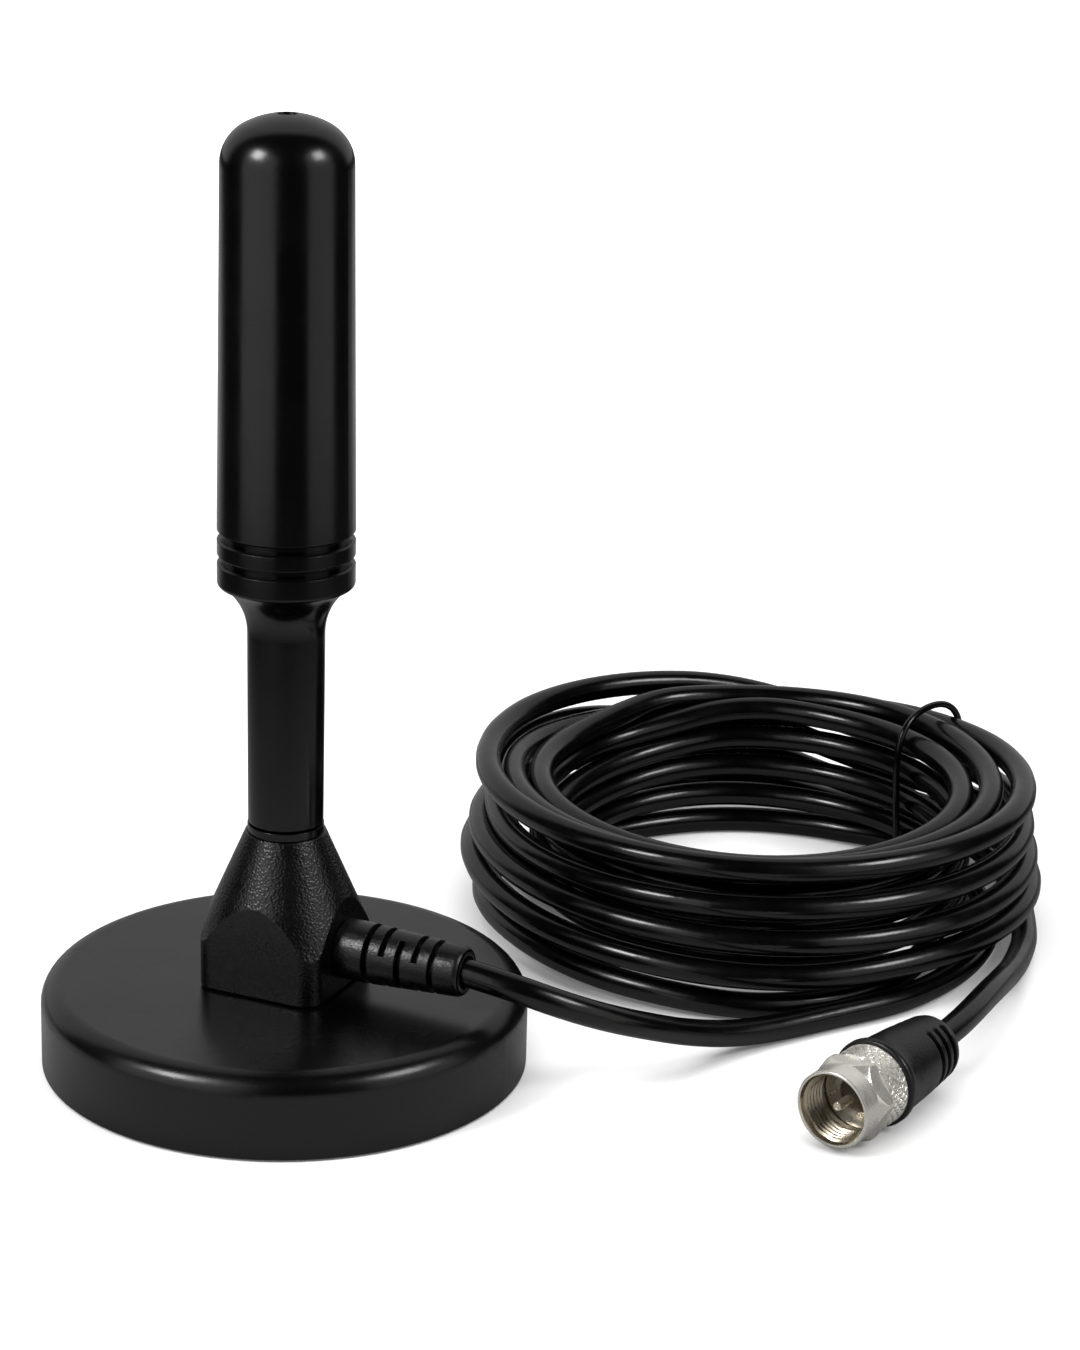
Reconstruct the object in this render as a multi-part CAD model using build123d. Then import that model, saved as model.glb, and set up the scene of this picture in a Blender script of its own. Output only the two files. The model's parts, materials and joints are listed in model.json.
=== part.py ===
from build123d import *

import os
from math import cos, pi, radians, sin, tan

# Omnidirectional receiving antenna: a weighted magnetic base, a socket block, a screw-in mast
# with a thick radome, and a thin coaxial cable, coiled and tied, that ends in an F plug.
# Units are millimetres. The origin is the middle of the base's underside, +Z is up, and the
# cable leaves the block along +X.

# ---------------------------------------------------------------- driving dimensions
BASE_R = 34.0
BASE_H = 12.0
BASE_RIM_FILLET = 3.0
BASE_WALL = 2.0
BASE_ROOF = 2.2
SHELL_FOOT = 0.3            # the shell's rim stops this far above the table
PAD_H = 1.0
PAD_R = BASE_R - BASE_WALL - 0.2
PLATE_H = 1.5
PLATE_R = 30.0
MAGNET_R = 29.0
MAGNET_HOLE_R = 13.0

BLOCK_HALF = 9.35
BLOCK_CORNER_R = 2.6
BLOCK_TOP_Z = 34.0
BLOCK_TOP_R = 5.6
BLOCK_SLOPE = 0.434         # radius gained per millimetre below the top
BLOCK_FOOT_BEVEL = 0.35
CAVITY_X = (-4.5, 7.5)
CAVITY_HALF_Y = 4.4
CAVITY_TOP_Z = 22.5
SCREW_OFFSET = 6.2
SCREW_R = 1.5
SCREW_HEAD_R = 2.7
SCREW_HEAD_H = 1.9
SCREW_TOP_Z = 18.3

BUSH_R = 4.4
BUSH_LOW_Z = 24.0
THREAD_R = 3.0              # M6 thread, drawn as a plain bore
THREAD_LOW_Z = 27.0
THREAD_CLEARANCE = 0.05

SEAT_R = 5.3
SEAT_H = 1.1
SEAT_GAP = 0.05
STEM_LOW_Z = BLOCK_TOP_Z + SEAT_H + 2 * SEAT_GAP
STEM_LOW_R = 5.2
STEM_TOP_R = 5.3
STEM_BORE_R = 4.0
NECK_LOW_Z = 62.7
NECK_TOP_Z = 69.3
NECK_TOP_R = 8.6
SPIGOT_R = 4.8
STUD_LOW_Z = 28.2
STUD_TOP_Z = 45.0
FEED_R = 1.0
BEAD_SPANS = ((48.0, 51.0), (62.0, 65.0))

HEAD_R = 9.35               # collar, trim ring and the foot of the radome
COLLAR_TOP_Z = 72.7
COLLAR_FOOT_R = 0.7
TRIM_Z = (73.7, 76.0)
RADOME_LOW_Z = 77.0
RADOME_TOP_R = 8.85
RADOME_BORE_R = 7.55
RADOME_SOCKET_TOP_Z = 83.0
SLEEVE_R = 8.3
SLEEVE_WALL = 0.9
SLEEVE_LOW_Z = 70.9
EDGE_BREAK = 0.25
SHOULDER_Z = 126.3          # the radome's side turns into its crown here
SHOULDER_R = 6.0
SHOULDER_SWEEP = 62.0
CROWN_WALL = 2.0
VENT_R = 1.3
VENT_DEPTH = 1.0
BOARD_R = 7.5
BOARD_H = 1.0
FORMER_R = 3.5
HELIX_R = 4.15
HELIX_PITCH = 4.2
HELIX_TURNS = 9
HELIX_WIRE_R = 0.6

RELIEF_Z = 18.1
RELIEF_FLANGE = (6.0, 4.2)  # where the inner flange starts, and its radius
RELIEF_NECK_R = 3.0
RELIEF_R = 4.2
RELIEF_COLLAR_END_X = 13.75
RELIEF_END_X = 28.0
RELIEF_END_R = 3.5
RELIEF_CORE_R = 2.7
SLOT_W = 0.9
SLOT_PITCH = 2.45
SLOT_COUNT = 5
SLOT_BRIDGES = (0, 22, 25, 22, 0)   # half width of the bridges left in each slot, in degrees
FERRULE_X = (2.0, 6.0)
FERRULE_R = 2.4
CORE_R = 1.3
CONDUCTOR_R = 0.45

CABLE_D = 3.9
FLOOR_Z = CABLE_D / 2
LEAD_ROUTE = [
    (27.5, 0.0, RELIEF_Z),
    (34.5, 0.5, 17.1),
    (40.8, 3.3, 14.6),
    (45.6, 8.3, 11.6),
    (49.2, 14.8, 8.5),
    (52.3, 21.8, 5.4),
    (56.3, 29.8, 2.8),
    (61.0, 37.2, FLOOR_Z),
    (66.2, 44.6, FLOOR_Z),
]
TAIL_ROUTE = [
    (82.4, 86.0, FLOOR_Z),
    (83.8, 78.0, 2.1),
    (85.0, 70.0, 3.1),
    (85.7, 62.0, 4.5),
    (86.1, 54.0, 5.7),
    (86.2, 46.0, 6.2),
    (85.8, 38.5, 6.3),
    (84.8, 31.7, 6.3),
]

COIL_X = 38.6
COIL_Y = 82.0
COIL_R = (30.2, 46.3)       # inner and outer radius of the bundle of turns
COIL_H = 24.6
COIL_CORNER = 1.9
TIE_ANGLE = 61.0            # where the tie crosses the bundle, from +X about the coil's middle
TIE_WIRE_R = 0.55
TIE_NOTCH_H = 1.5
TIE_NOTCH_W = 1.5
TIE_LOOP = [(29.4, 0.7), (29.4, 25.0), (34.6, 27.6), (42.6, 28.3), (47.2, 24.4), (47.2, 0.7)]
TIE_CORNER_R = (1.2, 2.0, 3.0, 3.0, 3.0, 1.2)
TIE_TWIST = (1.0, 8.0, 12.0)    # radius, length and height of the twisted ends

PLUG_X = 79.35
PLUG_Y = 5.68
PLUG_Z = 6.3
PLUG_HEADING = 78.08        # from the plug's mouth to its cable, from +X
NUT_L = 10.4
NUT_COLLAR_L = 3.2
NUT_HEX_END = 6.0
NUT_R = 5.5
HEX_ACROSS_FLATS = 11.0
HEX_CORNER_R = 6.2
KNURL_R = 5.8
NUT_THREAD_R = 4.45
NUT_THREAD_L = 5.2
NUT_MOUTH_R = 4.95
NUT_UNDERCUT_R = 4.95
NUT_FLANGE_L = 1.6
NUT_CLEARANCE = 0.07
SHANK_FLANGE_R = 4.85
SHANK_FACE = 6.4
SHANK_FLANGE_L = 2.2
SHANK_NECK_R = 3.55
SHANK_NECK_END = 12.0
SHANK_TUBE_R = 3.0
SHANK_END = 19.0
INSULATOR_R = 2.6
PIN_R = 0.65
PIN_TIP = 1.3
CRIMP_R = 3.8
BOOT_FACE = 10.5
BOOT_FLANGE_R = 6.3
BOOT_FLANGE_L = 1.3
BOOT_BODY_R = 5.75
BOOT_MID = (19.0, 5.4)      # distance behind the mouth, and radius there
BOOT_END = (27.0, 4.5)
BOOT_GROOVES = (20.4, 22.3, 24.2)
BOOT_BRIDGE = 26            # half width of the smooth strips along its top and bottom, in degrees
BOOT_GROOVE_W = 0.9
BOOT_GROOVE_D = 0.9

nodes = {}


# ---------------------------------------------------------------- helpers
def turned(outline):
    """Solid of revolution about Z from a closed outline of (radius, height) points."""
    face = Plane.XZ * make_face(Polyline(*outline, close=True))
    return revolve(face, Axis.Z)


def wedge(reach, low, high, middle, half_width):
    """Slice of the space round Z between two heights, within half_width degrees of a direction from +X."""
    edge = reach / cos(radians(half_width))
    corners = [(0, 0)] + [(edge * cos(radians(middle + turn)), edge * sin(radians(middle + turn)))
                          for turn in (-half_width, half_width)]
    return Pos(0, 0, low) * extrude(make_face(Polyline(*corners, close=True)), amount=high - low)


def turned_edges(*edges):
    """Solid of revolution about Z from outline edges drawn as radius and height."""
    return revolve(Plane.XZ * make_face(Curve() + list(edges)), Axis.Z)


def ring(outer, inner, low, high):
    """Plain tube about Z."""
    return turned([(inner, low), (outer, low), (outer, high), (inner, high)])


def rod(radius, low, high):
    """Plain cylinder about Z."""
    return Pos(0, 0, low) * Cylinder(radius, high - low, align=(Align.CENTER, Align.CENTER, Align.MIN))


def block(low, high):
    """Box between two corners."""
    size = [b - a for a, b in zip(low, high)]
    middle = [(a + b) / 2 for a, b in zip(low, high)]
    return Pos(*middle) * Box(*size)


def along_x(shape, height):
    """Turns a shape drawn about Z so that its axis is +X, at the given height."""
    return Pos(0, 0, height) * Rot(0, 90, 0) * shape


def corner_radii(route):
    """Largest tangent arcs that each corner's two runs allow."""
    points = [Vector(*p) for p in route]
    radii = []
    for before, here, after in zip(points, points[1:], points[2:]):
        run_in = here - before
        run_out = after - here
        half_turn = radians(run_in.get_angle(run_out)) / 2
        radii.append(0.45 * min(run_in.length, run_out.length) / tan(half_turn))
    return radii


def tube(name, route, radius):
    """Round tube along straight runs that tangent arcs join."""
    radii = corner_radii(route)
    path = FilletPolyline(*route, radius=radii)
    section = Plane(origin=path @ 0, z_dir=path % 0) * Circle(radius)
    solid = sweep(section, path=path)
    expected = pi * radius ** 2 * path.length
    print(name, "radii", [round(r, 1) for r in radii], "length", round(path.length, 1),
          "volume", round(solid.volume / expected, 4), "of its section times its length")
    return solid


# ---------------------------------------------------------------- base
def make_base():
    roof_low = BASE_H - BASE_ROOF
    wall_r = BASE_R - BASE_WALL
    shell = turned([(0, roof_low), (wall_r, roof_low), (wall_r, SHELL_FOOT), (BASE_R, SHELL_FOOT),
                    (BASE_R, BASE_H), (0, BASE_H)])
    rim = shell.edges().filter_by(GeomType.CIRCLE).group_by(Axis.Z)[-1].sort_by(SortBy.RADIUS)[-1]
    shell = fillet(rim, BASE_RIM_FILLET)
    plate_low = roof_low - PLATE_H
    plate = rod(PLATE_R, plate_low, roof_low)
    screws = []
    for side in (-1, 1):
        at = Pos(side * SCREW_OFFSET, side * SCREW_OFFSET, 0)
        hole = at * rod(SCREW_R + 0.1, 0, BASE_H + 1)
        shell -= hole
        plate -= hole
        screw = rod(SCREW_R, plate_low, SCREW_TOP_Z) + rod(SCREW_HEAD_R, plate_low - SCREW_HEAD_H, plate_low)
        for turn in (0, 90):
            screw -= Pos(0, 0, plate_low - SCREW_HEAD_H) * Rot(0, 0, turn) * Box(3.0, 0.8, 1.8)
        screws.append(at * screw)
    strap_x = FERRULE_X[0] + 1.0
    shell -= block((strap_x - 0.2, -1.8, roof_low - 1), (strap_x + 0.7, 1.8, BASE_H + 1))
    strap = block((strap_x, -1.5, roof_low), (strap_x + 0.5, 1.5, RELIEF_Z - FERRULE_R + 0.9))
    strap -= along_x(rod(FERRULE_R, 0, 8), RELIEF_Z)
    nodes["base_shell"] = shell
    nodes["pole_plate"] = plate
    nodes["ring_magnet"] = ring(MAGNET_R, MAGNET_HOLE_R, PAD_H, plate_low)
    nodes["foot_pad"] = rod(PAD_R, 0, PAD_H)
    nodes["base_screws"] = Compound(children=screws)
    nodes["ground_strap"] = strap


# ---------------------------------------------------------------- socket block and cable entry
def make_socket():
    height = BLOCK_TOP_Z - BASE_H
    side = 2 * BLOCK_HALF
    body = Pos(0, 0, BASE_H) * extrude(RectangleRounded(side, side, BLOCK_CORNER_R), amount=height)
    body = chamfer(body.edges().group_by(Axis.Z)[0], BLOCK_FOOT_BEVEL)
    cone = turned([(0, BASE_H), (BLOCK_TOP_R + BLOCK_SLOPE * height, BASE_H),
                   (BLOCK_TOP_R, BLOCK_TOP_Z), (0, BLOCK_TOP_Z)])
    body &= cone
    body -= block((CAVITY_X[0], -CAVITY_HALF_Y, BASE_H - 1), (CAVITY_X[1], CAVITY_HALF_Y, CAVITY_TOP_Z))
    body -= rod(1.0, CAVITY_TOP_Z - 1, BUSH_LOW_Z + 1)
    body -= rod(BUSH_R, BUSH_LOW_Z, BLOCK_TOP_Z + 1)
    body -= along_x(rod(RELIEF_NECK_R, CAVITY_X[1] - 1, BLOCK_HALF + 1), RELIEF_Z)
    for side_sign in (-1, 1):
        body -= Pos(side_sign * SCREW_OFFSET, side_sign * SCREW_OFFSET, 0) * rod(SCREW_R, 0, SCREW_TOP_Z)
    nodes["socket_block"] = body
    nodes["threaded_bush"] = rod(BUSH_R, BUSH_LOW_Z, BLOCK_TOP_Z) - rod(THREAD_R, THREAD_LOW_Z, BLOCK_TOP_Z + 1)


def make_cable_entry():
    flange_x, flange_r = RELIEF_FLANGE
    relief = turned([(0, flange_x), (flange_r, flange_x), (flange_r, CAVITY_X[1]), (RELIEF_NECK_R, CAVITY_X[1]),
                     (RELIEF_NECK_R, BLOCK_HALF), (RELIEF_R, BLOCK_HALF), (RELIEF_R, RELIEF_COLLAR_END_X),
                     (RELIEF_END_R, RELIEF_END_X - 0.4), (RELIEF_END_R - 0.4, RELIEF_END_X), (0, RELIEF_END_X)])
    for index in range(SLOT_COUNT):
        low = RELIEF_COLLAR_END_X + SLOT_PITCH * index
        slot = ring(RELIEF_R + 1, RELIEF_CORE_R, low, low + SLOT_W)
        # Local +X points down once the relief lies along the cable's exit.
        bridge_side = 90 if index % 2 else 0
        for side in (bridge_side, bridge_side + 180):
            if SLOT_BRIDGES[index]:
                slot -= wedge(RELIEF_R + 1, low, low + SLOT_W, side, SLOT_BRIDGES[index])
        relief -= slot
    nodes["strain_relief"] = along_x(relief, RELIEF_Z)
    nodes["crimp_ferrule"] = along_x(ring(FERRULE_R, CORE_R, *FERRULE_X), RELIEF_Z)
    nodes["cable_core"] = along_x(ring(CORE_R, CONDUCTOR_R, 1.0, flange_x), RELIEF_Z)
    bend = FilletPolyline((flange_x, 0, RELIEF_Z), (0, 0, RELIEF_Z), (0, 0, BUSH_LOW_Z), radius=1.0)
    wire_face = Plane(origin=bend @ 0, z_dir=bend % 0) * Circle(CONDUCTOR_R)
    nodes["inner_conductor"] = sweep(wire_face, path=bend)


# ---------------------------------------------------------------- mast
def make_mast():
    nodes["seat_washer"] = ring(SEAT_R, THREAD_R + 0.02, BLOCK_TOP_Z + SEAT_GAP, STEM_LOW_Z - SEAT_GAP)
    thread_r = THREAD_R - THREAD_CLEARANCE
    nodes["mast_stud"] = rod(thread_r, STUD_LOW_Z, STEM_LOW_Z) + rod(STEM_BORE_R, STEM_LOW_Z, STUD_TOP_Z)
    flare = TangentArc((STEM_TOP_R, NECK_LOW_Z), (NECK_TOP_R, NECK_TOP_Z), tangent=(0, 1))
    nodes["stem_tube"] = turned_edges(
        Polyline((STEM_BORE_R, SLEEVE_LOW_Z + 1), (STEM_BORE_R, STEM_LOW_Z), (STEM_LOW_R - 0.5, STEM_LOW_Z)),
        RadiusArc((STEM_LOW_R - 0.5, STEM_LOW_Z), (STEM_LOW_R, STEM_LOW_Z + 0.5), -0.5),
        Line((STEM_LOW_R, STEM_LOW_Z + 0.5), (STEM_TOP_R, NECK_LOW_Z)),
        flare,
        Polyline((NECK_TOP_R, NECK_TOP_Z), (SPIGOT_R, NECK_TOP_Z), (SPIGOT_R, SLEEVE_LOW_Z + 1),
                 (STEM_BORE_R, SLEEVE_LOW_Z + 1)),
    )
    nodes["feed_rod"] = rod(FEED_R, STUD_TOP_Z, RADOME_SOCKET_TOP_Z)
    nodes["feed_beads"] = Compound(children=[ring(STEM_BORE_R, FEED_R, *span) for span in BEAD_SPANS])


def head_ring(low, high, foot_radius):
    """Ring of the radome's width whose lower corner is rounded and whose upper edge is broken."""
    foot = HEAD_R - foot_radius
    return turned_edges(
        Line((SLEEVE_R, low), (foot, low)),
        RadiusArc((foot, low), (HEAD_R, low + foot_radius), -foot_radius),
        Polyline((HEAD_R, low + foot_radius), (HEAD_R, high - EDGE_BREAK), (HEAD_R - EDGE_BREAK, high),
                 (SLEEVE_R, high), (SLEEVE_R, low)),
    )


def make_head():
    floor = ring(SLEEVE_R, SPIGOT_R, NECK_TOP_Z, SLEEVE_LOW_Z)
    nodes["collar"] = floor + head_ring(NECK_TOP_Z, COLLAR_TOP_Z, COLLAR_FOOT_R)
    nodes["trim_ring"] = head_ring(*TRIM_Z, EDGE_BREAK)
    nodes["inner_sleeve"] = ring(SLEEVE_R, SLEEVE_R - SLEEVE_WALL, SLEEVE_LOW_Z, RADOME_SOCKET_TOP_Z)


def crown_edges(side_r, shoulder_r):
    """Shoulder arc and crown arc of the radome, from its side up to its axis."""
    sweep_angle = radians(SHOULDER_SWEEP)
    centre_r = side_r - shoulder_r
    end = (centre_r + shoulder_r * cos(sweep_angle), SHOULDER_Z + shoulder_r * sin(sweep_angle))
    half = radians(SHOULDER_SWEEP / 2)
    middle = (centre_r + shoulder_r * cos(half), SHOULDER_Z + shoulder_r * sin(half))
    crown_centre_z = SHOULDER_Z - centre_r * tan(sweep_angle)
    crown_r = shoulder_r + centre_r / cos(sweep_angle)
    top = (0, crown_centre_z + crown_r)
    lean = radians((90 - SHOULDER_SWEEP) / 2)
    crown_middle = (crown_r * sin(lean), crown_centre_z + crown_r * cos(lean))
    arcs = [ThreePointArc((side_r, SHOULDER_Z), middle, end), ThreePointArc(end, crown_middle, top)]
    return arcs, top[1]


def make_radome():
    outer_arcs, top_z = crown_edges(RADOME_TOP_R, SHOULDER_R)
    inner_arcs, inner_top_z = crown_edges(RADOME_BORE_R - 0.2, SHOULDER_R - CROWN_WALL)
    shell = turned_edges(
        Polyline((SLEEVE_R, RADOME_LOW_Z), (HEAD_R - EDGE_BREAK, RADOME_LOW_Z), (HEAD_R, RADOME_LOW_Z + EDGE_BREAK),
                 (RADOME_TOP_R, SHOULDER_Z)),
        *outer_arcs,
        Line((0, top_z), (0, inner_top_z)),
        *inner_arcs,
        Polyline((RADOME_BORE_R - 0.2, SHOULDER_Z), (RADOME_BORE_R, RADOME_SOCKET_TOP_Z),
                 (SLEEVE_R, RADOME_SOCKET_TOP_Z), (SLEEVE_R, RADOME_LOW_Z)),
    )
    seat_z = top_z - VENT_DEPTH
    shell -= rod(VENT_R, seat_z, top_z + 1)
    shell -= rod(0.75, inner_top_z - 1, top_z)
    board_top = RADOME_SOCKET_TOP_Z + BOARD_H
    former_top = inner_top_z - 0.75
    former = rod(FORMER_R, board_top, former_top) - rod(0.7, former_top - 5, former_top + 1)
    screw = rod(0.7, former_top - 5, seat_z) + rod(VENT_R - 0.1, seat_z, seat_z + 0.6)
    screw -= Pos(0, 0, seat_z + 0.6) * Box(1.6, 0.35, 0.5)
    wire_z = board_top + HELIX_WIRE_R
    path = Pos(0, 0, wire_z) * Helix(HELIX_PITCH, HELIX_PITCH * HELIX_TURNS, HELIX_R)
    section = Plane(origin=path @ 0, z_dir=path % 0) * Circle(HELIX_WIRE_R)
    nodes["radome"] = shell
    nodes["radome_screw"] = screw
    nodes["matching_board"] = rod(BOARD_R, RADOME_SOCKET_TOP_Z, board_top)
    nodes["element_former"] = former
    nodes["helix_element"] = sweep(section, path=path, is_frenet=True)
    print("radome top", round(top_z, 2))


# ---------------------------------------------------------------- F plug
def at_plug(shape):
    """Moves a shape drawn about Z, its mouth at z = 0 facing +Z, to where the plug lies."""
    heading = radians(PLUG_HEADING)
    mouth = (-cos(heading), -sin(heading), 0)
    return Plane(origin=(PLUG_X, PLUG_Y, PLUG_Z), x_dir=(0, 0, 1), z_dir=mouth) * shape


def make_nut():
    hex_blank = Pos(0, 0, -NUT_HEX_END) * extrude(
        RegularPolygon(HEX_ACROSS_FLATS / 2, 6, major_radius=False, rotation=30), amount=NUT_HEX_END)
    chamfer_run = (HEX_CORNER_R - NUT_R) / tan(radians(30))
    hex_front = -NUT_COLLAR_L
    envelope = turned([(0, -NUT_HEX_END), (HEX_CORNER_R, -NUT_HEX_END), (HEX_CORNER_R, hex_front - chamfer_run),
                       (NUT_R, hex_front), (0, hex_front)])
    blank = (hex_blank & envelope) + rod(NUT_R, -NUT_HEX_END, -0.3) + rod(KNURL_R, -NUT_L, -NUT_HEX_END)
    blank += turned([(0, -0.3), (NUT_R, -0.3), (NUT_R - 0.3, 0), (0, 0)])
    undercut_end = -NUT_L + NUT_FLANGE_L
    blank -= turned([(0, 1), (NUT_MOUTH_R, 1), (NUT_MOUTH_R, 0), (NUT_THREAD_R, -0.5),
                     (NUT_THREAD_R, -NUT_THREAD_L), (NUT_UNDERCUT_R, -NUT_THREAD_L),
                     (NUT_UNDERCUT_R, undercut_end), (SHANK_NECK_R + NUT_CLEARANCE, undercut_end),
                     (SHANK_NECK_R + NUT_CLEARANCE, -NUT_L - 1), (0, -NUT_L - 1)])
    return blank


def make_boot():
    flange_end = BOOT_FACE + BOOT_FLANGE_L
    body = turned([(0, -BOOT_FACE), (BOOT_FLANGE_R - 0.3, -BOOT_FACE), (BOOT_FLANGE_R, -BOOT_FACE - 0.3),
                   (BOOT_FLANGE_R, -flange_end), (BOOT_BODY_R, -flange_end - 0.3), (BOOT_MID[1], -BOOT_MID[0]),
                   (BOOT_END[1], -BOOT_END[0] + 0.8), (BOOT_END[1] - 0.8, -BOOT_END[0]), (0, -BOOT_END[0])])
    for start in BOOT_GROOVES:
        share = (start - BOOT_MID[0]) / (BOOT_END[0] - BOOT_MID[0])
        surface_r = BOOT_MID[1] + share * (BOOT_END[1] - BOOT_MID[1])
        groove = ring(BOOT_BODY_R + 1, surface_r - BOOT_GROOVE_D, -start - BOOT_GROOVE_W, -start)
        for side in (0, 180):
            groove -= wedge(BOOT_BODY_R + 1, -start - BOOT_GROOVE_W, -start, side, BOOT_BRIDGE)
        body -= groove
    body -= rod(SHANK_NECK_R, -SHANK_NECK_END, -BOOT_FACE + 1)
    body -= rod(CRIMP_R, -SHANK_END, -SHANK_NECK_END)
    return body


def make_plug():
    flange_back = -SHANK_FACE - SHANK_FLANGE_L
    shank = turned([(INSULATOR_R, -SHANK_FACE), (SHANK_FLANGE_R, -SHANK_FACE), (SHANK_FLANGE_R, flange_back),
                    (SHANK_NECK_R, flange_back), (SHANK_NECK_R, -SHANK_NECK_END), (SHANK_TUBE_R, -SHANK_NECK_END),
                    (SHANK_TUBE_R, -SHANK_END), (FLOOR_Z, -SHANK_END), (FLOOR_Z, -SHANK_NECK_END + 1),
                    (INSULATOR_R, -SHANK_NECK_END + 1)])
    insulator = ring(INSULATOR_R, PIN_R, -SHANK_NECK_END + 1, -SHANK_FACE - 0.5)
    pin_end = SHANK_END - 2
    pin = rod(PIN_R, -pin_end, -PIN_TIP)
    pin = fillet(pin.edges().group_by(Axis.Z)[-1], 0.3)
    nodes["coupling_nut"] = at_plug(make_nut())
    nodes["connector_body"] = at_plug(shank)
    nodes["insulator"] = at_plug(insulator)
    nodes["centre_pin"] = at_plug(pin)
    nodes["tail_core"] = at_plug(ring(FLOOR_Z, PIN_R, -pin_end, -SHANK_NECK_END + 1))
    nodes["crimp_sleeve"] = at_plug(ring(CRIMP_R, SHANK_TUBE_R, -SHANK_END, -SHANK_NECK_END))
    nodes["connector_boot"] = at_plug(make_boot())


# ---------------------------------------------------------------- cable
def at_coil(shape):
    return Pos(COIL_X, COIL_Y, 0) * shape


def make_coil():
    inner, outer = COIL_R
    bundle = ring(outer, inner, 0, COIL_H)
    bundle = fillet(bundle.edges().filter_by(GeomType.CIRCLE), COIL_CORNER)
    notch = block((inner - 1, -TIE_NOTCH_W / 2, -1), (outer + 1, TIE_NOTCH_W / 2, TIE_NOTCH_H))
    bundle -= Rot(0, 0, TIE_ANGLE) * notch
    nodes["cable_coil"] = at_coil(bundle)


def make_tie():
    points = [(u, 0, v) for u, v in TIE_LOOP]
    loop = FilletPolyline(*points, radius=TIE_CORNER_R, close=True)
    section = Plane(origin=loop @ 0, z_dir=loop % 0) * Circle(TIE_WIRE_R)
    wire = sweep(section, path=loop)
    radius, length, height = TIE_TWIST
    side = TIE_LOOP[-1][0]
    twist = Pos(side, 0, height) * Rot(90, 0, 0) * Cylinder(radius, length)
    twist = Pos(radius - TIE_WIRE_R, 0, 0) * twist
    nodes["coil_tie"] = at_coil(Rot(0, 0, TIE_ANGLE) * (wire + twist))


def make_cable():
    make_coil()
    make_tie()
    lead = tube("cable_lead", LEAD_ROUTE, CABLE_D / 2) - nodes["strain_relief"] - nodes["cable_coil"]
    tail = tube("cable_tail", TAIL_ROUTE, CABLE_D / 2) - nodes["connector_boot"] - nodes["cable_coil"]
    nodes["cable_lead"] = lead.solids().sort_by(SortBy.VOLUME)[-1]
    nodes["cable_tail"] = tail.solids().sort_by(SortBy.VOLUME)[-1]


make_base()
make_socket()
make_cable_entry()
make_mast()
make_head()
make_radome()
make_plug()
make_cable()

os.makedirs("parts", exist_ok=True)
for name, shape in nodes.items():
    export_step(shape, f"parts/{name}.step")
print(len(nodes), "nodes")
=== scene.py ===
import json
from math import acos, atan2, cos, degrees, exp, pi, radians, sin, sqrt, tau

import bmesh
import bpy
from mathutils import Matrix, Vector


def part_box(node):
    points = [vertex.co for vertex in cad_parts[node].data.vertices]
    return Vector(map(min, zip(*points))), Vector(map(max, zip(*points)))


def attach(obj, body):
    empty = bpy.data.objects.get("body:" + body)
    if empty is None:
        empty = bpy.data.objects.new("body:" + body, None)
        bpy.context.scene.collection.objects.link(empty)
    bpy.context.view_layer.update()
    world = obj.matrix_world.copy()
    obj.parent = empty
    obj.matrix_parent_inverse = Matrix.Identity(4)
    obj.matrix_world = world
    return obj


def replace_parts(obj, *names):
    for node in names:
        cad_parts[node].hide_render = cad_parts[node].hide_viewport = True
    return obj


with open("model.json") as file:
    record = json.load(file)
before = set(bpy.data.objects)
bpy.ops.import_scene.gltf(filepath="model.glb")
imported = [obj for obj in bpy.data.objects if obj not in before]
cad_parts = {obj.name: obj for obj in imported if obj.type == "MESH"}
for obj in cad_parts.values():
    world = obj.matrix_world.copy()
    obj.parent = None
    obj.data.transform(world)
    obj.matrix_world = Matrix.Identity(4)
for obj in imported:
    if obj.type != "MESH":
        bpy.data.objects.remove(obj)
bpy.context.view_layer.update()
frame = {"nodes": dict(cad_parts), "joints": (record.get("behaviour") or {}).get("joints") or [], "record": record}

MM = 0.001


# ---------------------------------------------------------------- camera
CAMERA_AT = (0.2134, -0.3997, 0.2098)
CAMERA_HEADING, CAMERA_TILT, CAMERA_ROLL = 23.73, 71.36, 1.53       # degrees
CAMERA_LENS = 93.56


def make_camera():
    data = bpy.data.cameras.new("camera")
    data.lens = CAMERA_LENS
    data.sensor_width = 36.0
    data.clip_start = 0.01
    data.clip_end = 20.0
    camera = bpy.data.objects.new("camera", data)
    bpy.context.scene.collection.objects.link(camera)
    aim = Matrix.Rotation(radians(CAMERA_HEADING), 4, "Z") @ Matrix.Rotation(radians(CAMERA_TILT), 4, "X")
    roll = Matrix.Rotation(radians(CAMERA_ROLL), 4, "Z")
    camera.matrix_world = Matrix.Translation(CAMERA_AT) @ aim @ roll
    bpy.context.scene.camera = camera


make_camera()

# ---------------------------------------------------------------- the cable's route
CABLE_D = 0.0039
# The route's points where the cable isn't coiled: from the strain relief, and on to the plug.
LEAD_ROUTE = [
    (0.0275, 0.0, 0.0181),
    (0.0345, 0.0005, 0.0171),
    (0.0408, 0.0033, 0.0146),
    (0.0456, 0.0083, 0.0116),
    (0.0492, 0.0148, 0.0085),
    (0.0523, 0.0218, 0.0054),
    (0.0563, 0.0298, 0.0028),
    (0.0610, 0.0372, 0.00195),
    (0.0662, 0.0446, 0.00195),
]
TAIL_ROUTE = [
    (0.0824, 0.0860, 0.00195),
    (0.0838, 0.0780, 0.0021),
    (0.0850, 0.0700, 0.0031),
    (0.0857, 0.0620, 0.0045),
    (0.0861, 0.0540, 0.0057),
    (0.0862, 0.0460, 0.0062),
    (0.0858, 0.0385, 0.0063),
    (0.0848, 0.0317, 0.0063),
]

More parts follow.
